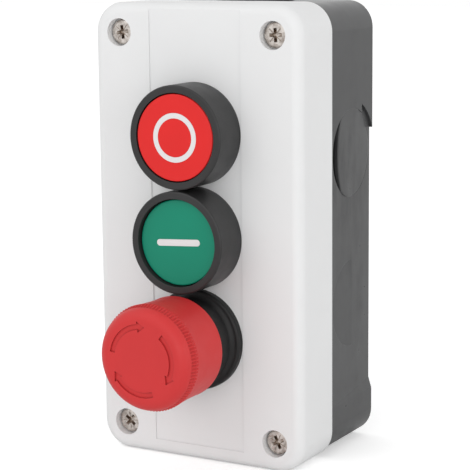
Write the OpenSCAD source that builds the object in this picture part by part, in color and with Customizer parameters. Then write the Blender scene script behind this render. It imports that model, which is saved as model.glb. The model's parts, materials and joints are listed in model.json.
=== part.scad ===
// Surface mounted pushbutton control station: a two part box with a flush stop button,
// a flush start button and a mushroom emergency stop that is released by a twist.
// Every piece is drawn as it lies on its back, with the wall at height 0 and the buttons
// pointing up, and stand() then turns it upright: +X right, +Z up, the buttons to -Y.
// The origin is the middle of the back, on the wall.

/* [Enclosure] */
// Width of the front cover
box_w = 68; // [58:1:84]
// Height of the front cover
box_h = 134; // [112:1:170]
// Depth from the wall to the face of the cover
box_depth = 48; // [40:0.5:60]
// Depth of the front cover alone
cover_depth = 19.5; // [17:0.5:23]
// Radius of the four corners, seen from the front
corner_r = 8.5; // [7:0.5:10]
// Radius of the soft edge round the face of the cover
edge_r = 3; // [1.5:0.5:4]
// Thickness of the side walls of the cover
cover_wall = 2.5; // [2:0.1:3]
// Thickness of the front of the cover
cover_front = 2.5; // [2:0.1:3.2]
// Thickness of the side walls of the rear box
base_wall = 2.5; // [2.3:0.1:3]
// Thickness of the floor of the rear box
base_floor = 2.5; // [2:0.1:3.5]
// How far the rear box stands in from the cover on each side
base_inset = 0.6; // [0.2:0.1:1.2]
// How far the shallow panel that carries the buttons reaches past their sides
panel_side = 0.2; // [0.1:0.1:2]
// Depth of that panel below the face
panel_recess = 0.25; // [0.1:0.05:0.6]
// Distance of the panel's lower edge from the bottom of the cover
panel_margin = 4.6; // [4:0.2:8]

/* [Cover screws] */
// Distance of each screw from the side of the cover
screw_side = 8.8; // [8.4:0.1:10]
// Distance of each screw from the top or bottom of the cover
screw_end = 8.6; // [8.2:0.1:10]
// Radius of the pocket round a screw head
counterbore_r = 4.03; // [3.6:0.01:4.4]
// Depth of that pocket
counterbore_depth = 3.2; // [2.8:0.1:4]
// Radius of a cover screw's head
screw_head_r = 3.6; // [3:0.1:3.6]
// Height of a cover screw's head
screw_head_h = 2.2; // [1.6:0.1:2.6]
// Radius of a cover screw's shank
screw_shank_r = 1.75; // [1.4:0.05:2]
// How deep a cover screw bites into the rear box
screw_bite = 12; // [8:1:20]
// Radius of the round bosses that the screws run through
boss_r = 5; // [4.6:0.1:5.2]

/* [Cable entries] */
// Distance from the wall to the edge of a round entry, which a disc closes
entry_foot = 0.9; // [0.6:0.1:4]
// Distance from that entry's edge to the groove of the seal
entry_head = 0.4; // [0.2:0.1:4]
// Depth of the groove of an entry
entry_groove_depth = 1.6; // [1:0.1:1.8]
// Width of the ring groove of the entries in the two ends
entry_groove = 1.1; // [0.6:0.1:1.6]
// How far the discs in the two ends stand in from the wall
entry_disc_inset = 0.4; // [0.2:0.1:0.5]
// Depth of the sunk discs in the sides near the top
entry_disc_depth = 0.95; // [0.6:0.05:1.2]
// Width of the crescent groove along the front edge of those discs
crescent_w = 3.5; // [2:0.1:5]
// Depth of the shallow discs in the sides near the bottom
entry_shallow_depth = 0.55; // [0.3:0.05:0.9]
// Distance of the two side entries from the middle of the box
entry_pitch = 45; // [30:1:60]
// Depth of the flat on each side at the back edge
flat_depth = 1; // [0.3:0.1:1.2]
// How far that flat reaches round the upper entry, past the entry's edge
flat_reach = 2.2; // [1:0.1:4]
// Distance of the flat's lower end from the bottom of the cover
flat_end = 15; // [12:1:30]
// Length over which the flat runs out at its lower end
flat_ramp = 5; // [1:0.5:8]

/* [Wall fixing] */
// Distance of each wall screw from the side of the box
fix_side = 9; // [8:0.5:14]
// Distance of each wall screw from the top or bottom of the box
fix_end = 20; // [18:0.5:24]
// Radius of a wall screw's hole
fix_r = 2.25; // [1.5:0.05:2.6]

/* [Flush buttons] */
// Gap between neighbouring bezels
head_gap = 0.4; // [0.3:0.1:4]
// How much larger a bezel's radius is than the mushroom's
bezel_over = 0.05; // [0:0.05:0.1]
// Width of a bezel's seat on the cover, from its edge to the hole
seat_w = 3.65; // [3.4:0.05:3.7]
// Gap between a barrel and its hole
barrel_gap = 0.25; // [0.1:0.05:0.5]
// Thickness of a barrel's wall
barrel_wall = 1.8; // [1.6:0.1:2.2]
// How far a barrel reaches in below its seat
barrel_len = 12; // [11:0.5:12.5]
// Height of a bezel above its seat
bezel_h = 11.7; // [9:0.1:14]
// Radius of the soft edge of a bezel
bezel_edge_r = 0.5; // [0.3:0.1:1.2]
// Width of the ring that a bezel and the gap in it make round a cap
bezel_lip = 2.45; // [2.4:0.05:3.2]
// Height of the stop cap's face above the seat
stop_cap_h = 11.55; // [10.2:0.05:13]
// Height of the start cap's face above the seat
start_cap_h = 10.35; // [10:0.05:12]
// Travel of a flush button
button_travel = 4.3; // [3:0.1:4.5]
// Outer radius of the ring on the stop cap
ring_r = 6.98; // [6:0.02:9]
// Width of the line of both symbols
symbol_line = 1.5; // [1:0.1:2.4]
// Length of the bar on the start cap
bar_len = 14.2; // [8:0.2:18]
// Width of the bar on the start cap
bar_w = 1.9; // [1.2:0.1:3]
// Turn of the start cap in its bezel, in degrees
bar_turn = 3.5; // [-10:0.5:10]

/* [Emergency stop] */
// Radius of the mushroom's skirt, which sets the size of all three heads
mushroom_r = 14.75; // [14:0.05:17]
// How far the mushroom's brim stands out past its skirt
brim_out = 0.45; // [0.2:0.05:0.8]
// Height of the mushroom's face above the seat
mushroom_top = 30.9; // [29:0.1:36]
// Height of the mushroom's lower rim above the seat
mushroom_low = 11.55; // [11:0.05:14]
// Thickness of the mushroom's skirt
mushroom_wall = 1.8; // [1.4:0.1:1.9]
// Width of the round shoulder, from the brim to the level face
shoulder_w = 4; // [3.6:0.1:6]
// Number of ribs round the mushroom's shoulder
rib_count = 96; // [48:4:120]
// Depth of the grooves between the ribs
rib_depth = 0.3; // [0.1:0.05:0.4]
// Travel of the emergency stop
estop_travel = 5; // [4:0.1:5]
// How much larger the radius of the collar's foot is than the mushroom's
collar_over = 0.1; // [0.05:0.05:0.15]
// Height of the collar's foot
collar_foot_h = 2.4; // [1.5:0.1:3]
// Gap between the collar's neck and the mushroom's skirt
skirt_gap = 0.4; // [0.35:0.05:1]
// Height of the collar's neck above the seat
collar_neck_h = 16; // [12:0.5:17]
// Angle that one of the mushroom's arrows spans
arrow_sweep = 73; // [40:1:90]

/* [Contact blocks] */
// Length of a contact block's body, side to side
block_len = 36; // [35:1:36]
// Width of a contact block
block_w = 14; // [12:0.5:18]
// Height of the pads that lift the contact blocks off the floor
block_lift = 3.65; // [3.2:0.05:4]
// Length of a contact block's foot plate
foot_len = 48; // [46:1:54]
// Thickness of the foot plate
foot_t = 3; // [2.5:0.1:3.2]
// Radius of a terminal screw's head
terminal_head_r = 2.8; // [2.2:0.1:3]

/* [Hidden] */

$fn = 96;

// One overrun for every cut
over = 0.5;
// Gap round a piece that slides or turns in a bore
run_gap = 0.08;
// Gap between pieces that move past each other without a fit
free_gap = 0.3;
// Gap round a piece that is only laid or pushed into its place
fit_gap = 0.1;

// Places of the heads, counted in pitches up from the middle
stop_at = 1;
start_at = 0;
estop_at = -1;

// Levels above the wall
seam_z = box_depth - cover_depth;
ceiling_z = box_depth - cover_front;
seat_z = box_depth - panel_recess;
// The cover's inner face, seen from a head's own seat
nut_top = ceiling_z - seat_z;

// Rear box
base_w = box_w - 2 * base_inset;
base_h = box_h - 2 * base_inset;
base_corner_r = corner_r - base_inset;
groove_in = 0.7;
groove_w = 1.1;
groove_depth = 1.2;
rib_t = 1.5;
crescent_share = 2;
fix_w = box_w - 2 * fix_side;
fix_h = box_h - 2 * fix_end;
fix_pad_r = 4.2;
fix_pad_h = 1;
entry_r = (seam_z - groove_depth - entry_foot - entry_head) / 2;
entry_height = entry_foot + entry_r;

// Inner rim of the cover, which slips into the rear box
rim_gap = 0.25;
rim_wall = 1.2;
rim_drop = 2;
rim_h = 3;

// Screws
screw_x = box_w / 2 - screw_side;
screw_y = box_h / 2 - screw_end;
screw_gap = 0.35;
screw_hole_r = screw_shank_r + screw_gap;
screw_edge_r = 0.9;
cross_w = 0.95;
cross_len = 4.2;
cross_depth = 1.3;
pilot_end = 2;

// Heads, from the mushroom's radius inwards
bezel_r = mushroom_r + bezel_over;
head_pitch = 2 * bezel_r + head_gap;
panel_w = 2 * (bezel_r + panel_side);
head_hole_r = bezel_r - seat_w;
barrel_r = head_hole_r - barrel_gap;
bore_r = barrel_r - barrel_wall;
cap_r = bezel_r - bezel_lip;
recess_r = cap_r + free_gap;
key_w = 3;
key_reach = 0.85;
key_r = head_hole_r + key_reach;
shelf_h = 3.6;
ledge_t = 2;
gasket_side = 0.9;
gasket_in_r = key_r + fit_gap;
gasket_out_r = bezel_r - gasket_side;
gasket_h = 0.85;
nut_side = 0.8;
nut_r = bezel_r - nut_side;
nut_h = 4.5;
nut_notches = 12;
nut_notch_r = 1.1;
cap_low = shelf_h + free_gap + button_travel;
cap_edge_r = 0.4;
cap_stem_wall = 1.6;
cap_stem_in_r = bore_r - run_gap - cap_stem_wall;
socket_share = 0.6;
cap_socket_low = 2;
inlay_depth = 0.6;
head_spring_wire_r = 0.45;
head_spring_turns = 6;
plunger_share = 0.7;
plunger_r = cap_stem_in_r * plunger_share;
head_spring_r = (plunger_r + cap_stem_in_r) / 2;
cap_socket_r = plunger_r * socket_share;
ledge_gap = 0.4;
ledge_hole_r = plunger_r + ledge_gap;
plunger_flange_w = 1.6;
plunger_flange_r = plunger_r + plunger_flange_w;
plunger_flange_h = 1;
ledge_top = ledge_t - barrel_len;
plunger_end = -barrel_len - free_gap - plunger_flange_h;

// Mushroom and its stem
brim_r = mushroom_r + brim_out;
face_flat_r = brim_r - shoulder_w;
dome_r = 3.6;
dome_drop = 2.4;
dome_edge_r = face_flat_r + sqrt(dome_drop * (2 * dome_r - dome_drop));
dome_edge_h = mushroom_top - dome_drop;
rib_band_h = 1.8;
rib_groove_half = 0.32;
rib_low = 0.3;
rib_tilt = atan((brim_r - dome_edge_r) / rib_band_h);
rib_length = 4;
flare_r = 115;
flare_start = 3.5;
mushroom_face_t = 3.4;
hub_low = 18;
stem_neck_in = 2.2;
stem_neck_r = bore_r - stem_neck_in;
stem_step = 1.9;
stem_top_r = stem_neck_r - stem_step;
hub_wall = 2.4;
hub_r = stem_top_r + hub_wall;
stem_guide_low = 2;
stem_guide_high = 8;
latch_low = 9.5;
latch_high = 12.5;
latch_inner_r = stem_neck_r + free_gap;
lug_w = 2.6;
lug_in = 0.9;
lug_r = bore_r - lug_in;
lug_h = 1.6;
lug_count = 3;
collar_r = mushroom_r + collar_over;
collar_neck_r = mushroom_r - mushroom_wall - skirt_gap;
collar_edge_r = 0.8;
collar_fillet_r = collar_r - collar_edge_r - collar_neck_r;
arrow_in = 1.5;
arrow_r = face_flat_r - arrow_in;
arrow_w = 1.6;
arrow_head_w = 3.2;
arrow_head_len = 2.45;
arrow_depth = 0.45;
arrow_start = 97.5;

// Contact blocks, with levels above a block's own underside
max_travel = max(button_travel, estop_travel);
block_z = base_floor + block_lift;
block_top_z = seat_z + plunger_end - max_travel - free_gap;
block_h = block_top_z - block_z - foot_t;
carrier_top = seat_z + plunger_end - free_gap - block_z;
block_top = foot_t + block_h;
room_len = 19;
room_w = 10;
room_lid = 1.8;
room_top = block_top - room_lid;
carrier_low = foot_t + free_gap + max_travel;
carrier_len = 9;
carrier_w = 7.2;
carrier_stem_len = 6;
carrier_stem_w = 5;
shoulder_top = room_top - free_gap;
carrier_web = 1.1;
bridge_t = 0.8;
pocket_share = 5 / 12;
spring_pocket = (shoulder_top - carrier_low - 2 * carrier_web - bridge_t) * pocket_share;
spring_pocket_r = 2.9;
contact_spring_r = 2.3;
contact_spring_wire_r = 0.35;
contact_spring_turns = 5;
post_r = 1.6;
post_share = 3 / 8;
post_h = spring_pocket * post_share;
bridge_len = 17.2;
bridge_w = 4.8;
rivet_r = 1.4;
rivet_h = 0.6;
rivet_x = 6.9;
touch_gap = 0.1;
strip_t = 0.8;
strip_in = 5.3;
strip_out = 16.4;
strip_w = 4.6;
pocket_in = 11;
pocket_w = 9.2;
terminal_x = 14;
terminal_r = 1.5;
terminal_head_h = 2;
slot_w = 0.7;
slot_depth = 0.9;
closed_bridge_z = carrier_low + spring_pocket + carrier_web;
open_bridge_z = shoulder_top - carrier_web - bridge_t;
closed_strip_z = closed_bridge_z + bridge_t + 2 * rivet_h + touch_gap;
open_strip_z = open_bridge_z - 2 * rivet_h - button_travel - touch_gap - strip_t;
bite_share = 5 / 12;
terminal_bite = (open_strip_z - foot_t) * bite_share;
pad_len = 9;
block_screw_x = 21;
block_screw_r = 1.4;
block_screw_hole_r = 1.7;
block_screw_head_r = 2.7;
block_screw_head_h = 1.8;
block_screw_bite = 3;

// Springs are swept tubes with few sides
spring_sides = 6;
spring_steps = 8;

// Colours
cover_colour = [0.88, 0.88, 0.87];
base_colour = [0.30, 0.31, 0.32];
black_colour = [0.13, 0.13, 0.14];
red_colour = [0.78, 0.12, 0.13];
green_colour = [0.06, 0.48, 0.33];
white_colour = [0.93, 0.93, 0.91];
rubber_colour = [0.10, 0.10, 0.10];
steel_colour = [0.72, 0.70, 0.68];
brass_colour = [0.80, 0.65, 0.30];
spring_colour = [0.62, 0.63, 0.65];
block_colour = [0.22, 0.22, 0.24];
carrier_colour = [0.85, 0.83, 0.78];
nut_colour = [0.20, 0.20, 0.21];

// Forms that several pieces share

// Turns a piece from lying on its back to hanging on a wall
module stand() {
  rotate([90, 0, 0]) children();
}

// Moves a piece to one of the three heads, onto its seat
module at_head(n) {
  translate([0, n * head_pitch, seat_z]) children();
}

// Moves a piece to the contact block behind one of the heads
module at_block(n) {
  translate([0, n * head_pitch, block_z]) children();
}

module for_corners(x, y) {
  for (sx = [-1, 1])
    for (sy = [-1, 1])
      translate([sx * x, sy * y, 0]) children();
}

module for_sides(x) {
  for (sx = [-1, 1]) translate([sx * x, 0, 0]) children();
}

module rounded_rect(w, h, r) {
  square([w - 2 * r, h], center = true);
  square([w, h - 2 * r], center = true);
  for_corners(w / 2 - r, h / 2 - r) circle(r);
}

module rounded_plate(w, h, r, t) {
  linear_extrude(t) rounded_rect(w, h, r);
}

module block(x, y, z) {
  translate([-x / 2, -y / 2, 0]) cube([x, y, z]);
}

module tube(outer_r, inner_r, h) {
  difference() {
    cylinder(r = outer_r, h = h);
    translate([0, 0, -over]) cylinder(r = inner_r, h = h + 2 * over);
  }
}

// Half of a slab's outline: from its middle out to its side, with a round upper edge
module edge_profile(half, t, e) {
  square([half, t - e]);
  square([half - e, t]);
  translate([half - e, t - e]) circle(e);
}

module slab_profile(half, t, e) {
  edge_profile(half, t, e);
  mirror([1, 0]) edge_profile(half, t, e);
}

// A slab with round corners and one round edge, made of four discs and two bars
module soft_slab(w, h, t, r, e) {
  for_corners(w / 2 - r, h / 2 - r) rotate_extrude() edge_profile(r, t, e);
  rotate([90, 0, 0]) linear_extrude(h - 2 * r, center = true) slab_profile(w / 2, t, e);
  rotate([90, 0, 90]) linear_extrude(w - 2 * r, center = true) slab_profile(h / 2, t, e);
}

// A coil spring of constant pitch, swept with few sides
module coil_spring(mean_r, wire_r, length, turns) {
  steps = turns * spring_steps;
  rise = length - 2 * wire_r;
  points = [
    for (i = [0 : steps])
      for (j = [0 : spring_sides - 1])
        let (
          a = 360 * i / spring_steps,
          b = 360 * j / spring_sides,
          r = mean_r + wire_r * cos(b)
        )
        [r * cos(a), r * sin(a), wire_r + rise * i / steps + wire_r * sin(b)]
  ];
  sides = [
    for (i = [0 : steps - 1])
      for (j = [0 : spring_sides - 1])
        let (
          p = i * spring_sides + j,
          q = i * spring_sides + (j + 1) % spring_sides
        )
        each [[p, q, q + spring_sides], [p, q + spring_sides, p + spring_sides]]
  ];
  first = [for (j = [spring_sides - 1 : -1 : 0]) j];
  last = [for (j = [0 : spring_sides - 1]) steps * spring_sides + j];
  polyhedron(points, concat(sides, [first, last]));
}

// Enclosure

module screw_places() {
  for_corners(screw_x, screw_y) children();
}

// Ribs that tie a screw boss to the two walls of its corner
module boss_ribs(wall_x, wall_y, h) {
  for (sx = [-1, 1])
    for (sy = [-1, 1]) {
      translate([sx * (screw_x + wall_x) / 2, sy * screw_y, 0])
        block(wall_x - screw_x, rib_t, h);
      translate([sx * screw_x, sy * (screw_y + wall_y) / 2, 0])
        block(rib_t, wall_y - screw_y, h);
    }
}

module cover_room() {
  room_w = box_w - 2 * cover_wall;
  room_h = box_h - 2 * cover_wall;
  rim_w = base_w - 2 * (base_wall + rim_gap + rim_wall);
  rim_l = base_h - 2 * (base_wall + rim_gap + rim_wall);
  translate([0, 0, seam_z + rim_h])
    rounded_plate(room_w, room_h, corner_r - cover_wall, ceiling_z - seam_z - rim_h);
  translate([0, 0, seam_z - rim_drop - over])
    rounded_plate(rim_w, rim_l, corner_r - cover_wall - rim_wall, rim_drop + rim_h + 2 * over);
}

module front_cover() {
  lip_w = base_w - 2 * (base_wall + rim_gap);
  lip_l = base_h - 2 * (base_wall + rim_gap);
  panel_l = box_h - panel_margin;
  color(cover_colour) stand() difference() {
    union() {
      difference() {
        union() {
          translate([0, 0, seam_z]) soft_slab(box_w, box_h, cover_depth, corner_r, edge_r);
          translate([0, 0, seam_z - rim_drop])
            rounded_plate(lip_w, lip_l, base_corner_r - base_wall, rim_drop + rim_h);
        }
        cover_room();
        screw_places() translate([0, 0, seam_z - rim_drop - over])
          cylinder(r = boss_r + free_gap, h = rim_drop + over);
      }
      screw_places() translate([0, 0, seam_z])
        cylinder(r = boss_r, h = ceiling_z - seam_z + over);
      translate([0, 0, seam_z])
        boss_ribs(box_w / 2 - over, box_h / 2 - over, ceiling_z - seam_z + over);
    }
    translate([-panel_w / 2, panel_margin - box_h / 2, seat_z])
      cube([panel_w, panel_l + over, panel_recess + over]);
    screw_places() {
      translate([0, 0, box_depth - counterbore_depth])
        cylinder(r = counterbore_r, h = counterbore_depth + over);
      translate([0, 0, seam_z - over]) cylinder(r = screw_hole_r, h = cover_depth);
    }
    for (n = [stop_at, start_at, estop_at])
      translate([0, n * head_pitch, ceiling_z - over]) {
        cylinder(r = head_hole_r, h = cover_front + 2 * over);
        translate([0, head_hole_r, 0])
          block(key_w + 2 * fit_gap, 2 * (key_r + fit_gap - head_hole_r), cover_front + 2 * over);
      }
  }
}

// The ring groove and the sunk disc of one cable entry in an end
module end_entry(end) {
  translate([0, end * base_h / 2, entry_height]) rotate([-end * 90, 0, 0]) {
    translate([0, 0, -entry_groove_depth])
      tube(entry_r, entry_r - entry_groove, entry_groove_depth + over);
    translate([0, 0, -entry_disc_inset]) cylinder(r = entry_r, h = entry_disc_inset + over);
  }
}

// Moves a cut to an entry in the right side, with its X axis towards the wall
module at_side_entry(along) {
  translate([base_w / 2, along, entry_height]) rotate([0, 90, 0]) children();
}

module side_disc(along, depth) {
  at_side_entry(along) translate([0, 0, -depth]) cylinder(r = entry_r, h = depth + over);
}

// The groove between the front edge of a disc and a flatter arc behind it
module crescent(along) {
  flat_arc_r = entry_r * crescent_share;
  at_side_entry(along) translate([0, 0, -entry_groove_depth])
    linear_extrude(entry_groove_depth + over) difference() {
      circle(entry_r);
      translate([flat_arc_r - entry_r + crescent_w, 0]) circle(flat_arc_r);
    }
}

// The shallow flat of the right side, deepest at the back edge and gone at the seam
module flat_slope(top, bottom) {
  wall = base_w / 2;
  slope = flat_depth / seam_z;
  translate([0, top, 0]) rotate([90, 0, 0]) linear_extrude(top + bottom)
    polygon([
      [wall - flat_depth - over * slope, -over],
      [wall, seam_z],
      [wall + over, seam_z],
      [wall + over, -over]
    ]);
}

// Plan of the flat, seen from the front, which runs out over a ramp at its lower end
module flat_plan(top, bottom) {
  wall = base_w / 2;
  deep = wall - flat_depth - over;
  polygon([
    [deep, top],
    [deep, flat_ramp - bottom],
    [wall, -bottom],
    [wall + over, -bottom],
    [wall + over, top]
  ]);
}

module side_flat() {
  bottom = box_h / 2 - flat_end;
  intersection() {
    flat_slope(entry_pitch / 2, bottom);
    translate([0, 0, -over]) linear_extrude(seam_z + over) flat_plan(entry_pitch / 2, bottom);
  }
  intersection() {
    flat_slope(box_h / 2, 0);
    at_side_entry(entry_pitch / 2) translate([0, 0, -base_wall])
      intersection() {
        cylinder(r = entry_r + flat_reach, h = base_wall + over);
        translate([entry_r / 2, -box_h / 2, 0]) cube([entry_r, box_h, base_wall + over]);
      }
  }
}

module side_cuts() {
  side_flat();
  side_disc(entry_pitch / 2, entry_disc_depth);
  side_disc(-entry_pitch / 2, entry_shallow_depth);
  crescent(entry_pitch / 2);
}

module block_pads(n) {
  pad_x = (foot_len - pad_len) / 2;
  for_sides(pad_x) translate([0, n * head_pitch, base_floor - over])
    block(pad_len, block_w, block_z - base_floor + over);
}

module rear_box() {
  gasket_room_w = base_w - 2 * groove_in;
  gasket_room_h = base_h - 2 * groove_in;
  color(base_colour) stand() difference() {
    union() {
      difference() {
        rounded_plate(base_w, base_h, base_corner_r, seam_z);
        translate([0, 0, base_floor])
          rounded_plate(base_w - 2 * base_wall, base_h - 2 * base_wall,
            base_corner_r - base_wall, seam_z);
        translate([0, 0, seam_z - groove_depth]) linear_extrude(groove_depth + over) difference() {
          rounded_rect(gasket_room_w, gasket_room_h, base_corner_r - groove_in);
          rounded_rect(gasket_room_w - 2 * groove_w, gasket_room_h - 2 * groove_w,
            base_corner_r - groove_in - groove_w);
        }
      }
      screw_places() cylinder(r = boss_r, h = seam_z - fit_gap);
      boss_ribs(base_w / 2 - base_wall + fit_gap, base_h / 2 - base_wall + fit_gap,
        seam_z - rim_drop - free_gap);
      for (n = [stop_at, start_at, estop_at]) block_pads(n);
      for_corners(fix_w / 2, fix_h / 2) cylinder(r = fix_pad_r, h = base_floor + fix_pad_h);
    }
    screw_places() translate([0, 0, base_floor + pilot_end])
      cylinder(r = screw_shank_r + fit_gap, h = seam_z);
    for_corners(fix_w / 2, fix_h / 2) translate([0, 0, -over])
      cylinder(r = fix_r, h = base_floor + fix_pad_h + 2 * over);
    for (n = [stop_at, start_at, estop_at])
      translate([0, n * head_pitch, block_z - block_screw_bite - fit_gap])
        for_sides(block_screw_x) cylinder(r = block_screw_r + fit_gap, h = block_screw_bite + over);
    side_cuts();
    mirror([1, 0, 0]) side_cuts();
    for (end = [-1, 1]) end_entry(end);
  }
}

module cover_gasket() {
  outer_w = base_w - 2 * (groove_in + fit_gap);
  outer_h = base_h - 2 * (groove_in + fit_gap);
  inner_in = groove_w - 2 * fit_gap;
  color(rubber_colour) stand() translate([0, 0, seam_z - groove_depth])
    linear_extrude(groove_depth) difference() {
      rounded_rect(outer_w, outer_h, base_corner_r - groove_in - fit_gap);
      rounded_rect(outer_w - 2 * inner_in, outer_h - 2 * inner_in,
        base_corner_r - groove_in - fit_gap - inner_in);
    }
}

module cross_recess() {
  for (a = [0, 90]) rotate([0, 0, a + 45]) block(cross_len, cross_w, cross_depth + over);
}

module cover_screws() {
  seat = box_depth - counterbore_depth;
  end = seam_z - screw_bite;
  color(steel_colour) stand() screw_places() difference() {
    union() {
      translate([0, 0, seat]) rotate_extrude() edge_profile(screw_head_r, screw_head_h, screw_edge_r);
      translate([0, 0, end]) cylinder(r = screw_shank_r, h = seat - end + over);
    }
    translate([0, 0, seat + screw_head_h - cross_depth]) cross_recess();
  }
}

// Flush heads

module head_gasket(n) {
  color(rubber_colour) stand() at_head(n) tube(gasket_out_r, gasket_in_r, gasket_h);
}

module head_nut(n) {
  color(nut_colour) stand() at_head(n) translate([0, 0, nut_top - nut_h]) difference() {
    cylinder(r = nut_r, h = nut_h);
    translate([0, 0, -over]) cylinder(r = barrel_r + fit_gap, h = nut_h + 2 * over);
    for (i = [0 : nut_notches - 1])
      rotate([0, 0, 360 * (i + 0.5) / nut_notches]) translate([nut_r, 0, -over])
        cylinder(r = nut_notch_r, h = nut_h + 2 * over);
  }
}

// The barrel below the seat, with the ledge at its end, the key and the gasket's groove
module head_barrel() {
  translate([0, 0, -barrel_len]) cylinder(r = barrel_r, h = barrel_len + over);
  translate([0, (barrel_r + key_r) / 2 - over / 2, nut_top])
    block(key_w, key_r - barrel_r + over, over - nut_top);
}

module head_bore(bore_top) {
  translate([0, 0, ledge_top]) cylinder(r = bore_r, h = bore_top - ledge_top);
  translate([0, 0, -barrel_len - over]) cylinder(r = ledge_hole_r, h = ledge_t + 2 * over);
}

module gasket_groove() {
  translate([0, 0, -over])
    tube(gasket_out_r + fit_gap, gasket_in_r - fit_gap, gasket_h + fit_gap / 2 + over);
}

module flush_bezel(n) {
  color(black_colour) stand() at_head(n) difference() {
    union() {
      rotate_extrude() edge_profile(bezel_r, bezel_h, bezel_edge_r);
      head_barrel();
    }
    translate([0, 0, shelf_h]) cylinder(r = recess_r, h = bezel_h);
    head_bore(shelf_h + over);
    gasket_groove();
  }
}

module cap_body(h) {
  difference() {
    union() {
      translate([0, 0, cap_low]) rotate_extrude() edge_profile(cap_r, h - cap_low, cap_edge_r);
      translate([0, 0, ledge_top + free_gap + button_travel])
        tube(bore_r - run_gap, bore_r - run_gap - cap_stem_wall,
          cap_low + over - ledge_top - free_gap - button_travel);
      translate([0, 0, cap_socket_low])
        cylinder(r = plunger_r, h = cap_low + over - cap_socket_low);
    }
    translate([0, 0, cap_socket_low - over])
      cylinder(r = cap_socket_r, h = cap_low + over - cap_socket_low);
  }
}

module ring_shape(gap) {
  difference() {
    circle(ring_r + gap);
    circle(ring_r - symbol_line - gap);
  }
}

module bar_shape(gap) {
  rotate(bar_turn) {
    square([bar_len - bar_w, bar_w + 2 * gap], center = true);
    for_sides((bar_len - bar_w) / 2) circle(bar_w / 2 + gap);
  }
}

module stop_cap() {
  color(red_colour) stand() at_head(stop_at) difference() {
    cap_body(stop_cap_h);
    translate([0, 0, stop_cap_h - inlay_depth]) linear_extrude(inlay_depth + over)
      ring_shape(fit_gap / 4);
  }
}

module stop_symbol() {
  color(white_colour) stand() at_head(stop_at) translate([0, 0, stop_cap_h - inlay_depth])
    linear_extrude(inlay_depth) ring_shape(0);
}

module start_cap() {
  color(green_colour) stand() at_head(start_at) difference() {
    cap_body(start_cap_h);
    translate([0, 0, start_cap_h - inlay_depth]) linear_extrude(inlay_depth + over)
      bar_shape(fit_gap / 4);
  }
}

module start_symbol() {
  color(white_colour) stand() at_head(start_at) translate([0, 0, start_cap_h - inlay_depth])
    linear_extrude(inlay_depth) bar_shape(0);
}

// Rod that is pushed into a cap's socket and pulls its flange up under the ledge
module plunger(n) {
  color(carrier_colour) stand() at_head(n) {
    translate([0, 0, cap_socket_low - fit_gap - over])
      cylinder(r = cap_socket_r - run_gap, h = cap_low - cap_socket_low + over);
    translate([0, 0, plunger_end])
      cylinder(r = plunger_r, h = cap_socket_low - fit_gap - plunger_end);
    translate([0, 0, plunger_end]) cylinder(r = plunger_flange_r, h = plunger_flange_h);
  }
}

module cap_spring(n) {
  color(spring_colour) stand() at_head(n) translate([0, 0, ledge_top])
    coil_spring(head_spring_r, head_spring_wire_r, cap_low - ledge_top, head_spring_turns);
}

// Emergency stop

// Round inside corner between the collar's foot and its neck
module collar_fillet() {
  difference() {
    translate([collar_neck_r - over, -over])
      square([collar_fillet_r + over, collar_fillet_r + over]);
    translate([collar_neck_r + collar_fillet_r, collar_fillet_r]) circle(collar_fillet_r);
  }
}

module estop_collar() {
  color(black_colour) stand() at_head(estop_at) difference() {
    union() {
      rotate_extrude() edge_profile(collar_r, collar_foot_h, collar_edge_r);
      translate([0, 0, collar_foot_h]) rotate_extrude() collar_fillet();
      cylinder(r = collar_neck_r, h = collar_neck_h);
      head_barrel();
    }
    head_bore(collar_neck_h + over);
    gasket_groove();
  }
}

// Outline of the mushroom's outside: a skirt that flares to the brim, the band of the ribs,
// a round shoulder and a level face
module mushroom_profile() {
  difference() {
    polygon([
      [0, mushroom_low],
      [brim_r, mushroom_low],
      [brim_r, dome_edge_h - rib_band_h],
      [dome_edge_r, dome_edge_h],
      [0, dome_edge_h]
    ]);
    translate([mushroom_r + flare_r, mushroom_low + flare_start]) circle(flare_r, $fn = 720);
  }
  translate([0, dome_edge_h - over]) square([face_flat_r, dome_drop + over]);
  intersection() {
    translate([face_flat_r, mushroom_top - dome_r]) circle(dome_r);
    translate([0, dome_edge_h]) square([brim_r, dome_r]);
  }
}

// One groove between two ribs, which runs down the band and out at the brim
module rib_groove() {
  translate([dome_edge_r, 0, dome_edge_h]) rotate([0, 180 - rib_tilt, 0])
    translate([0, 0, rib_low]) linear_extrude(rib_length) polygon([
      [rib_depth, 0],
      [-rib_depth, 2 * rib_groove_half],
      [-rib_depth, -2 * rib_groove_half]
    ]);
}

// One of the three curved arrows, which point clockwise seen from the front
module arrow_shape() {
  tip = arrow_head_len / arrow_r * 180 / PI;
  intersection() {
    difference() {
      circle(arrow_r + arrow_w / 2);
      circle(arrow_r - arrow_w / 2);
    }
    polygon([
      [0, 0],
      2 * mushroom_r * [cos(arrow_sweep), sin(arrow_sweep)],
      2 * mushroom_r * [cos(arrow_sweep / 2), sin(arrow_sweep / 2)],
      [2 * mushroom_r, 0]
    ]);
  }
  polygon([
    [arrow_r - arrow_head_w / 2, 0],
    [arrow_r + arrow_head_w / 2, 0],
    arrow_r * [cos(tip), -sin(tip)]
  ]);
}

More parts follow.
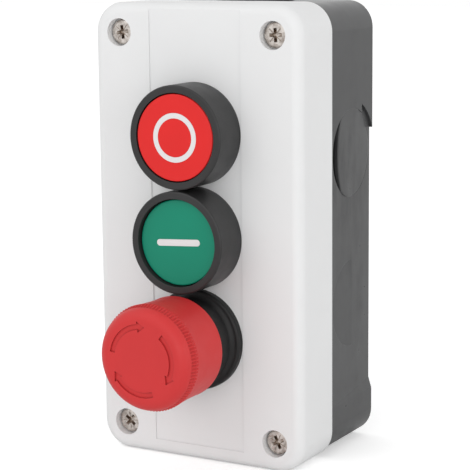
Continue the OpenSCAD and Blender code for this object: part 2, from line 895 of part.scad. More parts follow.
module estop_head() {
  color(red_colour) stand() at_head(estop_at) difference() {
    union() {
      difference() {
        rotate_extrude() mushroom_profile();
        translate([0, 0, mushroom_low - over])
          cylinder(r = mushroom_r - mushroom_wall,
            h = mushroom_top - mushroom_face_t - mushroom_low + over);
      }
      translate([0, 0, hub_low]) cylinder(r = hub_r, h = mushroom_top - mushroom_face_t - hub_low + over);
    }
    translate([0, 0, hub_low - over])
      cylinder(r = stem_top_r + run_gap, h = mushroom_top - mushroom_face_t - hub_low + over);
    for (i = [0 : 2]) rotate([0, 0, arrow_start + 120 * i])
      translate([0, 0, mushroom_top - arrow_depth]) linear_extrude(arrow_depth + over) arrow_shape();
    for (i = [0 : rib_count - 1]) rotate([0, 0, 360 * i / rib_count]) rib_groove();
  }
}

module estop_stem() {
  top = mushroom_top - mushroom_face_t - free_gap;
  color(carrier_colour) stand() at_head(estop_at) {
    translate([0, 0, plunger_end]) cylinder(r = plunger_flange_r, h = plunger_flange_h);
    translate([0, 0, plunger_end]) cylinder(r = plunger_r, h = stem_guide_low - plunger_end + over);
    translate([0, 0, stem_guide_low])
      cylinder(r = bore_r - run_gap, h = stem_guide_high - stem_guide_low);
    translate([0, 0, stem_guide_low])
      cylinder(r = stem_neck_r, h = hub_low - free_gap - stem_guide_low);
    translate([0, 0, stem_guide_low]) cylinder(r = stem_top_r, h = top - stem_guide_low);
    for (i = [0 : lug_count - 1]) rotate([0, 0, 360 * i / lug_count])
      translate([stem_neck_r - over, -lug_w / 2, latch_high + free_gap])
        cube([lug_r - stem_neck_r + over, lug_w, lug_h]);
  }
}

// Ring pressed into the collar, with three gates for the stem's lugs
module estop_latch_ring() {
  color(steel_colour) stand() at_head(estop_at) difference() {
    translate([0, 0, latch_low]) cylinder(r = bore_r - fit_gap / 2, h = latch_high - latch_low);
    translate([0, 0, latch_low - over])
      cylinder(r = latch_inner_r, h = latch_high - latch_low + 2 * over);
    for (i = [0 : lug_count - 1]) rotate([0, 0, 360 * i / lug_count])
      translate([0, -lug_w / 2 - free_gap, latch_low - over])
        cube([lug_r + free_gap, lug_w + 2 * free_gap, latch_high - latch_low + 2 * over]);
  }
}

module estop_spring() {
  color(spring_colour) stand() at_head(estop_at) translate([0, 0, ledge_top])
    coil_spring(head_spring_r, head_spring_wire_r, stem_guide_low - ledge_top, head_spring_turns);
}

// Contact blocks; closed is true where the contact is closed until its button is pressed

function bridge_z(closed) = closed ? closed_bridge_z : open_bridge_z;

function strip_z(closed) = closed ? closed_strip_z : open_strip_z;

module block_foot(n) {
  color(block_colour) stand() at_block(n) difference() {
    union() {
      block(foot_len, block_w, foot_t);
      translate([0, 0, foot_t - over]) cylinder(r = post_r, h = post_h + over);
    }
    for_sides(block_screw_x) translate([0, 0, -over])
      cylinder(r = block_screw_hole_r, h = foot_t + 2 * over);
  }
}

module block_body(n, closed) {
  strips = strip_z(closed);
  color(block_colour) stand() at_block(n) difference() {
    translate([0, 0, foot_t]) block(block_len, block_w, block_h);
    translate([0, 0, foot_t - over]) block(room_len, room_w, room_top - foot_t + over);
    translate([0, 0, room_top - over])
      block(carrier_stem_len + 4 * run_gap, carrier_stem_w + 4 * run_gap, room_lid + 2 * over);
    for (sx = [-1, 1]) mirror([sx < 0 ? 1 : 0, 0, 0]) {
      translate([pocket_in, -pocket_w / 2, strips])
        cube([block_len, pocket_w, block_top]);
      translate([room_len / 2 - over, -strip_w / 2 - fit_gap, strips])
        cube([pocket_in - room_len / 2 + 2 * over, strip_w + 2 * fit_gap, strip_t + fit_gap]);
      translate([terminal_x, 0, strips - terminal_bite - fit_gap])
        cylinder(r = terminal_r + fit_gap, h = terminal_bite + 2 * fit_gap);
    }
  }
}

module carrier(n, closed) {
  bar = bridge_z(closed);
  color(carrier_colour) stand() at_block(n) difference() {
    union() {
      translate([0, 0, carrier_low]) block(carrier_len, carrier_w, shoulder_top - carrier_low);
      translate([0, 0, shoulder_top - over])
        block(carrier_stem_len, carrier_stem_w, carrier_top - shoulder_top + over);
    }
    translate([0, 0, carrier_low - over]) cylinder(r = spring_pocket_r, h = spring_pocket + over);
    translate([0, 0, bar]) block(carrier_len + 2 * over, bridge_w + 2 * fit_gap, bridge_t + fit_gap / 2);
  }
}

module bridge(n, closed) {
  bar = bridge_z(closed);
  rivets = closed ? bar + bridge_t / 2 : bar - rivet_h;
  color(brass_colour) stand() at_block(n) {
    translate([0, 0, bar]) block(bridge_len, bridge_w, bridge_t);
    translate([0, 0, rivets]) for_sides(rivet_x) cylinder(r = rivet_r, h = rivet_h + bridge_t / 2);
  }
}

module fixed_contacts(n, closed) {
  strips = strip_z(closed);
  rivets = closed ? strips - rivet_h : strips + strip_t / 2;
  color(brass_colour) stand() at_block(n) for (sx = [-1, 1]) mirror([sx < 0 ? 1 : 0, 0, 0]) {
    difference() {
      translate([strip_in, -strip_w / 2, strips]) cube([strip_out - strip_in, strip_w, strip_t]);
      translate([terminal_x, 0, strips - over])
        cylinder(r = terminal_r + fit_gap, h = strip_t + 2 * over);
    }
    translate([rivet_x, 0, rivets]) cylinder(r = rivet_r, h = rivet_h + strip_t / 2);
  }
}

module contact_spring(n) {
  color(spring_colour) stand() at_block(n) translate([0, 0, foot_t])
    coil_spring(contact_spring_r, contact_spring_wire_r, carrier_low + spring_pocket - foot_t,
      contact_spring_turns);
}

module slotted_screw(head_r, head_h, shank_r, bite) {
  difference() {
    union() {
      cylinder(r = head_r, h = head_h);
      translate([0, 0, -bite]) cylinder(r = shank_r, h = bite + over);
    }
    translate([0, 0, head_h - slot_depth]) block(2 * head_r + over, slot_w, slot_depth + over);
  }
}

module terminal_screws() {
  color(steel_colour) stand()
    for (at = [[stop_at, true], [start_at, false], [estop_at, true]])
      at_block(at[0]) translate([0, 0, strip_z(at[1]) + strip_t]) for_sides(terminal_x)
        slotted_screw(terminal_head_r, terminal_head_h, terminal_r, terminal_bite);
}

module block_screws() {
  color(steel_colour) stand() for (n = [stop_at, start_at, estop_at])
    at_block(n) translate([0, 0, foot_t]) for_sides(block_screw_x)
      slotted_screw(block_screw_head_r, block_screw_head_h, block_screw_r,
        foot_t + block_screw_bite);
}

module stop_bezel() { flush_bezel(stop_at); }
module start_bezel() { flush_bezel(start_at); }
module stop_plunger() { plunger(stop_at); }
module start_plunger() { plunger(start_at); }
module stop_spring() { cap_spring(stop_at); }
module start_spring() { cap_spring(start_at); }

front_cover();
rear_box();
cover_gasket();
cover_screws();
stop_bezel();
stop_cap();
stop_symbol();
stop_plunger();
stop_spring();
head_gasket(stop_at);  // stop_gasket
head_nut(stop_at);  // stop_nut
start_bezel();
start_cap();
start_symbol();
start_plunger();
start_spring();
head_gasket(start_at);  // start_gasket
head_nut(start_at);  // start_nut
estop_collar();
estop_head();
estop_stem();
estop_spring();
estop_latch_ring();
head_gasket(estop_at);  // estop_gasket
head_nut(estop_at);  // estop_nut
block_foot(stop_at);  // stop_block_foot
block_body(stop_at, true);  // stop_block_body
carrier(stop_at, true);  // stop_carrier
bridge(stop_at, true);  // stop_bridge
fixed_contacts(stop_at, true);  // stop_fixed_contacts
contact_spring(stop_at);  // stop_contact_spring
block_foot(start_at);  // start_block_foot
block_body(start_at, false);  // start_block_body
carrier(start_at, false);  // start_carrier
bridge(start_at, false);  // start_bridge
fixed_contacts(start_at, false);  // start_fixed_contacts
contact_spring(start_at);  // start_contact_spring
block_foot(estop_at);  // estop_block_foot
block_body(estop_at, true);  // estop_block_body
carrier(estop_at, true);  // estop_carrier
bridge(estop_at, true);  // estop_bridge
fixed_contacts(estop_at, true);  // estop_fixed_contacts
contact_spring(estop_at);  // estop_contact_spring
terminal_screws();
block_screws();
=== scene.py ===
"""Looks of the pushbutton control station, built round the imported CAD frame.

+X is right, +Z is up, the buttons face -Y and the wall is the plane Y = 0. The sizes in this
script are millimetres, except where a comment says metres. Blender's own lengths are metres.
"""
import json
from math import asin, cos, pi, radians, sin, sqrt

import bmesh
import bpy
from mathutils import Matrix, Vector


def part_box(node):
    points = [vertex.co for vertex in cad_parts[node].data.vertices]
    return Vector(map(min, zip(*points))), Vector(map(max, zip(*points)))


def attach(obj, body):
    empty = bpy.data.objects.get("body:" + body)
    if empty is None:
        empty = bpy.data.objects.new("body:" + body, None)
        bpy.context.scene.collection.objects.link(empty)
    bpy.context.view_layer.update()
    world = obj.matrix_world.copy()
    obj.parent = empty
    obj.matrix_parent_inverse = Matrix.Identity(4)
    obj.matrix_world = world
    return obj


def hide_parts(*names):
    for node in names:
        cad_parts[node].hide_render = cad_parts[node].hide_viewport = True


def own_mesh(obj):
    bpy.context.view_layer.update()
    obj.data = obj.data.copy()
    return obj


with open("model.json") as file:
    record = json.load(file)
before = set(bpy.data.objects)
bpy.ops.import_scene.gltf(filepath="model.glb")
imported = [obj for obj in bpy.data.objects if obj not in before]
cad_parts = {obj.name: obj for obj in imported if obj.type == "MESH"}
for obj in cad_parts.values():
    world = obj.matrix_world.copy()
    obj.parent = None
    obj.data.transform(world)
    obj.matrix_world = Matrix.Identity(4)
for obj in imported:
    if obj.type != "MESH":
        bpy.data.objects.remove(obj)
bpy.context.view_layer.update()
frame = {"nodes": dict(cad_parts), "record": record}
NODES = frame["nodes"]

MM = 0.001

# Places that the CAD model fixes

SEAT_Y = -47.75
HEAD_PITCH = 30.0
ESTOP_Z = -HEAD_PITCH
BOX_H, BOX_DEPTH = 134.0, 48.0

# Mesh helpers

WELD = 0.002


def link(name, mesh):
    """A new object of the scene that shows the mesh."""
    obj = bpy.data.objects.new(name, mesh)
    bpy.context.scene.collection.objects.link(obj)
    return obj


def mesh_from(name, verts, faces):
    """A mesh from points in millimetres, with its faces turned outwards."""
    mesh = bpy.data.meshes.new(name)
    mesh.from_pydata([tuple(c * MM for c in v) for v in verts], [], faces)
    bm = bmesh.new()
    bm.from_mesh(mesh)
    bmesh.ops.recalc_face_normals(bm, faces=bm.faces)
    bm.to_mesh(mesh)
    bm.free()
    return mesh


def shade_by_angle(obj, degrees):
    """Smooth shading that keeps the edges steeper than the angle sharp."""
    limit = radians(degrees)
    bm = bmesh.new()
    bm.from_mesh(obj.data)
    for face in bm.faces:
        face.smooth = True
    for edge in bm.edges:
        if len(edge.link_faces) == 2 and edge.calc_face_angle(0.0) > limit:
            edge.smooth = False
    bm.to_mesh(obj.data)
    bm.free()


def apply_modifiers(obj):
    """Turns the object's modifiers into its mesh."""
    graph = bpy.context.evaluated_depsgraph_get()
    mesh = bpy.data.meshes.new_from_object(obj.evaluated_get(graph))
    obj.modifiers.clear()
    obj.data = mesh


def cut(obj, cutter):
    """Takes the cutter out of the object and deletes the cutter."""
    mod = obj.modifiers.new("cut", "BOOLEAN")
    mod.operation = "DIFFERENCE"
    mod.solver = "EXACT"
    mod.object = cutter
    apply_modifiers(obj)
    bpy.data.objects.remove(cutter)


def weld(obj):
    """Welds points that a cut left on top of each other."""
    bm = bmesh.new()
    bm.from_mesh(obj.data)
    bmesh.ops.remove_doubles(bm, verts=bm.verts, dist=WELD * MM)
    bmesh.ops.dissolve_degenerate(bm, edges=bm.edges, dist=WELD * MM / 2)
    bm.to_mesh(obj.data)
    bm.free()


def joined(name, parts):
    """One object from the meshes of several, which are deleted."""
    bm = bmesh.new()
    for part in parts:
        bm.from_mesh(part.data)
    mesh = bpy.data.meshes.new(name)
    bm.to_mesh(mesh)
    bm.free()
    for part in parts:
        bpy.data.objects.remove(part)
    return link(name, mesh)


def lathe(name, profile, steps):
    """Turns (radius, height) points round the local Z axis; points at radius 0 become one vertex."""
    verts, rings, faces = [], [], []
    for r, h in profile:
        if r == 0:
            verts.append((0.0, 0.0, h))
            rings.append([len(verts) - 1] * steps)
        else:
            rings.append(list(range(len(verts), len(verts) + steps)))
            for i in range(steps):
                a = 2 * pi * i / steps
                verts.append((r * cos(a), r * sin(a), h))
    for low, high in zip(rings, rings[1:]):
        for i in range(steps):
            j = (i + 1) % steps
            quad = [low[i], low[j], high[j], high[i]]
            face = [v for n, v in enumerate(quad) if v not in quad[:n]]
            if len(face) > 2:
                faces.append(face)
    return mesh_from(name, verts, faces)


def ring_faces(first, second, steps):
    """The faces between two rings of points, each given by the number of its first point."""
    return [[first + i, first + (i + 1) % steps, second + (i + 1) % steps, second + i]
            for i in range(steps)]


def prism(name, outline, low, high):
    """A closed prism over an outline in X and Y."""
    n = len(outline)
    verts = [(x, y, low) for x, y in outline] + [(x, y, high) for x, y in outline]
    faces = [list(range(n))[::-1], list(range(n, 2 * n))]
    return mesh_from(name, verts, faces + ring_faces(0, n, n))


def stand(mesh, x, z, y):
    """Turns a mesh drawn with its axis up so that the axis points to -Y, and moves its foot."""
    turn = Matrix(((1, 0, 0, x * MM), (0, 0, -1, y * MM), (0, 1, 0, z * MM), (0, 0, 0, 1)))
    mesh.transform(turn)
    return mesh


# Outlines in X and Y, with angles in degrees

def arc(r, start, end, steps):
    """Points on an arc round the origin."""
    angles = [radians(start + (end - start) * i / steps) for i in range(steps + 1)]
    return [(r * cos(a), r * sin(a)) for a in angles]


def bar(start, end, half):
    """A rectangle along X."""
    return [(start, -half), (end, -half), (end, half), (start, half)]


def turned(points, degrees):
    """The points turned round the origin."""
    c, s = cos(radians(degrees)), sin(radians(degrees))
    return [(x * c - y * s, x * s + y * c) for x, y in points]


# Material helpers

BEVEL_SAMPLES, SHADE_SAMPLES = 4, 8
EDGE_SHARP, EDGE_LEVEL = 0.88, 0.995
CREVICE_FULL = 0.35
BUMP_STRENGTH = 0.5


class Tree:
    """A small wrapper that keeps a material's node code short."""

    def __init__(self, name):
        self.material = bpy.data.materials.new(name)
        self.material.use_nodes = True
        self.nodes = self.material.node_tree.nodes
        self.links = self.material.node_tree.links
        self.shader = self.nodes["Principled BSDF"]
        self.place = self.add("ShaderNodeTexCoord").outputs["Object"]

    def add(self, kind, **values):
        node = self.nodes.new(kind)
        for key, value in values.items():
            setattr(node, key, value)
        return node

    def join(self, source, target):
        self.links.new(source, target)

    def set(self, **values):
        """Sets the shader's own sockets, named with _ for a space."""
        for key, value in values.items():
            self.shader.inputs[key.replace("_", " ")].default_value = value

    def noise(self, scale, detail=3.0, rough=0.55, stretch=None):
        """Noise with scale repeats per metre."""
        node = self.add("ShaderNodeTexNoise")
        node.inputs["Scale"].default_value = scale
        node.inputs["Detail"].default_value = detail
        node.inputs["Roughness"].default_value = rough
        source = self.place
        if stretch:
            mapping = self.add("ShaderNodeMapping")
            mapping.inputs["Scale"].default_value = stretch
            self.join(source, mapping.inputs["Vector"])
            source = mapping.outputs["Vector"]
        self.join(source, node.inputs["Vector"])
        return node.outputs["Fac"]

    def spread(self, value, low, high, from_low=0.3, from_high=0.7):
        """The value's range from_low to from_high, spread over low to high."""
        node = self.add("ShaderNodeMapRange")
        node.inputs["From Min"].default_value = from_low
        node.inputs["From Max"].default_value = from_high
        node.inputs["To Min"].default_value = low
        node.inputs["To Max"].default_value = high
        self.join(value, node.inputs["Value"])
        return node.outputs["Result"]

    def mix(self, factor, a, b):
        """Colour a where the factor is 0, colour b where it is 1."""
        node = self.add("ShaderNodeMix", data_type="RGBA")
        for key, value in (("A", a), ("B", b)):
            socket = next(s for s in node.inputs if s.name == key and s.type == "RGBA")
            if isinstance(value, tuple):
                socket.default_value = (*value, 1)
            else:
                self.join(value, socket)
        self.join(factor, node.inputs["Factor"])
        return next(s for s in node.outputs if s.type == "RGBA")

    def multiply(self, a, b):
        node = self.add("ShaderNodeMath", operation="MULTIPLY")
        for i, value in enumerate((a, b)):
            if isinstance(value, (int, float)):
                node.inputs[i].default_value = value
            else:
                self.join(value, node.inputs[i])
        return node.outputs[0]

    def rounded_normal(self, radius):
        """The surface's direction with its edges rounded over the radius."""
        bevel = self.add("ShaderNodeBevel", samples=BEVEL_SAMPLES)
        bevel.inputs["Radius"].default_value = radius * MM
        return bevel.outputs["Normal"]

    def edge(self, radius):
        """A mask that is 1 on sharp edges and 0 on level faces."""
        rounded = self.rounded_normal(radius)
        geometry = self.add("ShaderNodeNewGeometry")
        dot = self.add("ShaderNodeVectorMath", operation="DOT_PRODUCT")
        self.join(rounded, dot.inputs[0])
        self.join(geometry.outputs["Normal"], dot.inputs[1])
        return self.spread(dot.outputs["Value"], 1.0, 0.0, EDGE_SHARP, EDGE_LEVEL)

    def crevice(self, reach, amount, open_at):
        """A mask of where shade falls, which rises to the amount in the piece's own grooves and inner
        corners.
        """
        node = self.add("ShaderNodeAmbientOcclusion", samples=SHADE_SAMPLES, only_local=True)
        node.inputs["Distance"].default_value = reach * MM
        return self.spread(node.outputs["AO"], amount, 0.0, open_at * CREVICE_FULL, open_at)

    def shaded_in_crevices(self, base, crevice_shade):
        """The base with painted shade in its crevices; grime is the shade's colour and the crevice's
        arguments.
        """
        colour, *mask = crevice_shade
        return self.mix(self.crevice(*mask), base, colour)

    def relief(self, height, distance, round_edges):
        """A bump of the distance from the height, over edges rounded by round_edges."""
        bump = self.add("ShaderNodeBump")
        bump.inputs["Strength"].default_value = BUMP_STRENGTH
        bump.inputs["Distance"].default_value = distance * MM
        self.join(height, bump.inputs["Height"])
        if round_edges:
            self.join(self.rounded_normal(round_edges), bump.inputs["Normal"])
        self.join(bump.outputs["Normal"], self.shader.inputs["Normal"])


def shades(colour, amount):
    """A darker and a lighter shade of the colour."""
    return (tuple(c * (1 - amount) for c in colour),
            tuple(min(1.0, c * (1 + amount)) for c in colour))


# Repeats per metre of the noise patterns

CLOUDS, RUBBING, STREAKS, STREAK_AREAS, GLOSS = 55.0, 420.0, 75.0, 30.0, 180.0
STAINS, SCRATCHES, FINE_SCRATCHES = 700.0, 900.0, 1800.0

# Stretch of two of them, and the lowest and highest share of a material's roughness

STREAK_STRETCH, SCRATCH_STRETCH = (1.0, 1.6, 0.45), (1.0, 1.0, 4.0)
PLASTIC_GLOSS, METAL_GLOSS = (0.88, 1.14), (0.75, 1.4)
METALLIC, STAIN_AMOUNT, SCRATCH_DEPTH, METAL_EDGE_R = 0.95, 0.75, 0.002, 0.08


def streak_mask(t, amount):
    """A mask of upright rubbed streaks that come and go over the surface."""
    streaks = t.noise(STREAKS, detail=6.0, rough=0.62, stretch=STREAK_STRETCH)
    streaks = t.spread(streaks, 0, amount, from_low=0.47, from_high=0.68)
    areas = t.spread(t.noise(STREAK_AREAS, detail=2.0), 0, 1, from_low=0.40, from_high=0.60)
    return t.multiply(streaks, areas)


def join_gloss(t, pattern, rough, shares):
    """Lets the roughness vary with the pattern between two shares of its value."""
    low, high = shares
    t.join(t.spread(pattern, rough * low, rough * high), t.shader.inputs["Roughness"])


def moulded(name, colour, rough, grain=2600.0, depth=0.004, variation=0.03, worn=None, edge_r=0.15,
            specular=0.5, crevice_shade=None, smear=None):
    """Moulded plastic: cloudy colour, fine eroded grain, uneven gloss, worn edges, painted shade in
    grooves.

    grain is in repeats per metre, worn is the colour of rubbed edges. grime is the painted shade in
    crevices, as in Tree.dirtied, and smear is the colour and amount of rubbed streaks.
    """
    t = Tree(name)
    t.set(Specular_IOR_Level=specular)
    dark, light = shades(colour, variation)
    base = t.mix(t.spread(t.noise(CLOUDS, detail=4.0), 0, 1), dark, light)
    if worn:
        uneven = t.spread(t.noise(RUBBING, detail=4.0), low=0.15, high=0.8)
        rub = t.multiply(t.edge(edge_r), uneven)
        base = t.mix(rub, base, worn)
    # Painted shade in the piece's grooves and inner corners.
    if crevice_shade:
        base = t.shaded_in_crevices(base, crevice_shade)
    if smear:
        streak, amount = smear
        base = t.mix(streak_mask(t, amount), base, streak)
    t.join(base, t.shader.inputs["Base Color"])
    join_gloss(t, t.noise(GLOSS, detail=5.0), rough, PLASTIC_GLOSS)
    t.relief(t.noise(grain), depth, edge_r if worn else None)
    return t.material


def metal(name, colour, rough, dirt, crevice_shade=None):
    """Plated metal: fine scratches, uneven gloss, dull deposits and painted shade in its recesses."""
    t = Tree(name)
    stains = t.spread(t.noise(STAINS, detail=5.0), 0, 1, from_low=0.42, from_high=0.68)
    base = t.mix(t.multiply(stains, STAIN_AMOUNT), colour, dirt)
    # Painted shade in the screw's recesses.
    if crevice_shade:
        base = t.shaded_in_crevices(base, crevice_shade)
    t.join(base, t.shader.inputs["Base Color"])
    t.set(Metallic=METALLIC)
    join_gloss(t, t.noise(SCRATCHES, detail=4.0), rough, METAL_GLOSS)
    scratches = t.noise(FINE_SCRATCHES, detail=4.0, stretch=SCRATCH_STRETCH)
    t.relief(scratches, SCRATCH_DEPTH, METAL_EDGE_R)
    return t.material


# Colours, then materials

# COVER_CREVICE_SHADE is painted shade for the cover's inner corners, such as along the step of its sunk
# panel.
COVER, COVER_CREVICE_SHADE = (0.808, 0.811, 0.813), (0.45, 0.45, 0.46)
BASE, BASE_WORN = (0.064, 0.065, 0.066), (0.12, 0.12, 0.12)
# BASE_CREVICE_SHADE is painted shade for the base's grooves and recesses, such as the dark crescents of
# the side entries.
BASE_CREVICE_SHADE, BASE_SMEAR = (0.006, 0.006, 0.007), (0.026, 0.026, 0.027)
# BLACK_CREVICE_SHADE is painted shade for the grooves and inner corners of the black parts.
BLACK, BLACK_WORN, BLACK_CREVICE_SHADE = (0.024, 0.0235, 0.024), (0.038, 0.038, 0.038), (0.006, 0.006, 0.006)
COLLAR, COLLAR_WORN = (0.013, 0.0128, 0.013), (0.022, 0.022, 0.022)
# RED_CAP_CREVICE_SHADE is painted shade for the red cap's gaps and inner corners.
RED_CAP, RED_CAP_WORN, RED_CAP_CREVICE_SHADE = (0.74, 0.018, 0.017), (0.80, 0.05, 0.05), (0.26, 0.006, 0.006)
RED_HEAD, RED_HEAD_WORN = (0.62, 0.034, 0.035), (0.68, 0.06, 0.06)
# RED_HEAD_CREVICE_SHADE is painted shade for the mushroom's rib grooves and the edges of its arrows.
RED_HEAD_CREVICE_SHADE = (0.24, 0.006, 0.008)
# GREEN_CREVICE_SHADE is painted shade for the green cap's gaps and inner corners.
GREEN, GREEN_WORN, GREEN_CREVICE_SHADE = (0.003, 0.240, 0.146), (0.03, 0.30, 0.19), (0.002, 0.08, 0.05)
WHITE = (0.77, 0.75, 0.755)
RUBBER = (0.018, 0.018, 0.018)
# NICKEL_CREVICE_SHADE is painted shade for the screws' cross recesses and marks; NICKEL_STAIN is their
# real stains.
NICKEL, NICKEL_STAIN, NICKEL_CREVICE_SHADE = (0.73, 0.68, 0.635), (0.24, 0.19, 0.16), (0.24, 0.17, 0.115)
WIRE, WIRE_STAIN = (0.62, 0.63, 0.65), (0.36, 0.34, 0.32)
BRASS, BRASS_STAIN = (0.80, 0.58, 0.24), (0.42, 0.26, 0.10)
BLOCK, BLOCK_WORN = (0.040, 0.040, 0.044), (0.09, 0.09, 0.09)
IVORY, IVORY_WORN = (0.66, 0.62, 0.53), (0.74, 0.71, 0.64)


def make_materials():
    """The material of each slot, and of the collar and the mushroom, which have their own."""
    return {
        # Each grime argument below paints shade into the grooves, inner corners and recesses of its
        # material.
        "cover_plastic": moulded(
            "cover_abs", COVER, 0.46, grain=1900.0, depth=0.003, variation=0.010,
            specular=0.2, crevice_shade=(COVER_CREVICE_SHADE, 0.9, 0.26, 0.97)),
        "base_plastic": moulded(
            "base_abs", BASE, 0.31, grain=2300.0, depth=0.012, variation=0.07, worn=BASE_WORN,
            edge_r=0.2, specular=0.38, crevice_shade=(BASE_CREVICE_SHADE, 3.0, 1.0, 0.74), smear=(BASE_SMEAR, 0.85)),
        "black_plastic": moulded(
            "bezel_black", BLACK, 0.42, grain=2800.0, depth=0.006, variation=0.14,
            worn=BLACK_WORN, specular=0.4, crevice_shade=(BLACK_CREVICE_SHADE, 1.0, 0.8, 0.9)),
        "red_plastic": moulded(
            "cap_red", RED_CAP, 0.40, grain=2400.0, worn=RED_CAP_WORN,
            specular=0.3, crevice_shade=(RED_CAP_CREVICE_SHADE, 0.5, 0.6, 0.9)),
        "green_plastic": moulded(
            "cap_green", GREEN, 0.38, grain=2400.0, worn=GREEN_WORN,
            specular=0.3, crevice_shade=(GREEN_CREVICE_SHADE, 0.5, 0.6, 0.9)),
        "white_inlay": moulded(
            "inlay_white", WHITE, 0.36, grain=2400.0, depth=0.003, variation=0.015, specular=0.3),
        "seal_rubber": moulded("seal_rubber", RUBBER, 0.75, grain=2000.0, depth=0.010, variation=0.12),
        "screw_steel": metal("screw_nickel", NICKEL, 0.30, NICKEL_STAIN, (NICKEL_CREVICE_SHADE, 1.2, 0.9, 0.88)),
        "spring_steel": metal("spring_wire", WIRE, 0.22, WIRE_STAIN),
        "contact_brass": metal("contact_brass", BRASS, 0.30, BRASS_STAIN),
        "block_plastic": moulded(
            "block_pa", BLOCK, 0.55, grain=2200.0, depth=0.010, variation=0.10, worn=BLOCK_WORN),
        "carrier_plastic": moulded("carrier_pom", IVORY, 0.40, grain=2400.0, worn=IVORY_WORN),
        "collar": moulded(
            "collar_black", COLLAR, 0.50, grain=2800.0, depth=0.006, variation=0.10,
            worn=COLLAR_WORN, edge_r=0.12, specular=0.3),
        "mushroom": moulded(
            "mushroom_red", RED_HEAD, 0.46, grain=2100.0, depth=0.006, worn=RED_HEAD_WORN,
            edge_r=0.12, specular=0.3, crevice_shade=(RED_HEAD_CREVICE_SHADE, 0.7, 0.65, 0.92)),
    }


def dress_nodes(materials):
    """Gives each CAD node the material of its slot, and the collar its own."""
    for part in frame["record"]["subparts"]:
        obj = NODES[part["node"]]
        if not obj.data.materials:
            obj.data.materials.append(None)
        for i in range(len(obj.data.materials)):
            obj.data.materials[i] = materials[part["material_slot"]]
    NODES["estop_collar"].data.materials[0] = materials["collar"]


# Emergency stop head, with its heights above the seat of the heads

HEAD_TOP, HEAD_LOW, SKIRT_R, BRIM_R = 30.9, 11.55, 14.75, 15.2
SHOULDER_W, DOME_R, DOME_DROP, BAND_H = 4.0, 3.6, 2.4, 1.8
FACE_R = BRIM_R - SHOULDER_W
DOME_EDGE_R = FACE_R + sqrt(DOME_DROP * (2 * DOME_R - DOME_DROP))
DOME_EDGE_H = HEAD_TOP - DOME_DROP
BRIM_H = DOME_EDGE_H - BAND_H
FLARE_R, FLARE_FROM = 115.0, HEAD_LOW + 3.5
SKIRT_WALL, FACE_T = 1.8, 3.4
HUB_R, HUB_LOW, STEM_R = 7.4, 18.0, 5.08
RIM_ROUND, RIM_BEVEL, FACE_EDGE = 0.3, 0.3, 0.12
SKIRT_STEPS, DOME_STEPS = 22, 16
HEAD_SHARP = 48

# Ribs between the brim and the round shoulder

RIBS, RIB_STEPS, RIB_DEPTH = 96, 8, 0.4
RIB_TOP, RIB_LOW = DOME_EDGE_H - 0.28, 25.7
RIB_SHAPE = (0.0, 0.0, 0.3, 0.8, 1.0, 1.0, 0.8, 0.3)
UNDER_BRIM = (25.85, 26.05, 26.25, 26.45, 26.6)
BRIM_ROUND = ((0.02, 0.05), (0.06, 0.16))
ON_BAND = (27.1, 27.4, 27.8, RIB_TOP - 0.14, RIB_TOP - 0.04, RIB_TOP + 0.02)

# Arrows in the face, with their sweep and start in degrees

ARROWS, ARROW_STEPS, ARROW_CUT_H = 3, 18, 2.0
ARROW_R, ARROW_W, ARROW_DEPTH = FACE_R - 1.5, 1.6, 0.45
ARROW_SWEEP, ARROW_START = 73.0, 97.5
ARROW_HEAD_W, ARROW_HEAD_LEN = 3.2, 2.45


def skirt(h):
    """Radius of the skirt, which flares upwards to the brim."""
    return SKIRT_R + FLARE_R - sqrt(FLARE_R ** 2 - (h - FLARE_FROM) ** 2)


def band(h):
    """Radius of the narrow cone between the brim and the round shoulder."""
    return DOME_EDGE_R + (BRIM_R - DOME_EDGE_R) * (DOME_EDGE_H - h) / BAND_H


def rib_gap(r, h):
    """How deep the groove between two ribs is at a height."""
    if not RIB_LOW < h < RIB_TOP:
        return 0.0
    return max(0.0, min(RIB_DEPTH, r - band(h) + RIB_DEPTH))


def skirt_profile():
    """(radius, height) from the lower rim up to just under the brim."""
    rim, foot_r = RIM_ROUND, skirt(HEAD_LOW)
    points = [(foot_r - rim, HEAD_LOW), (foot_r - rim * RIM_BEVEL, HEAD_LOW + rim * RIM_BEVEL),
              (foot_r, HEAD_LOW + rim)]
    low = HEAD_LOW + 2 * rim
    heights = [low + (RIB_LOW - low) * i / SKIRT_STEPS for i in range(SKIRT_STEPS + 1)]
    return points + [(skirt(h), h) for h in (*heights, *UNDER_BRIM)]


def outer_profile():
    """(radius, height) from the skirt's lower rim up to the edge of the face."""
    points = skirt_profile()
    points += [(BRIM_R - inwards, BRIM_H + up) for inwards, up in BRIM_ROUND]
    points += [(band(h), h) for h in ON_BAND]
    first = asin((DOME_R - DOME_DROP) / DOME_R)
    for i in range(DOME_STEPS + 1):
        a = first + (pi / 2 - first) * i / DOME_STEPS
        points.append((FACE_R + DOME_R * cos(a), HEAD_TOP - DOME_R + DOME_R * sin(a)))
    return points + [(FACE_R - FACE_EDGE, HEAD_TOP)]


def inner_profile():
    """(radius, height) of the inside, from the end of the stem's hole out to the lower rim."""
    ceiling = HEAD_TOP - FACE_T
    return [(STEM_R, ceiling), (STEM_R, HUB_LOW), (HUB_R, HUB_LOW), (HUB_R, ceiling),
            (SKIRT_R - SKIRT_WALL, ceiling), (SKIRT_R - SKIRT_WALL, HEAD_LOW)]


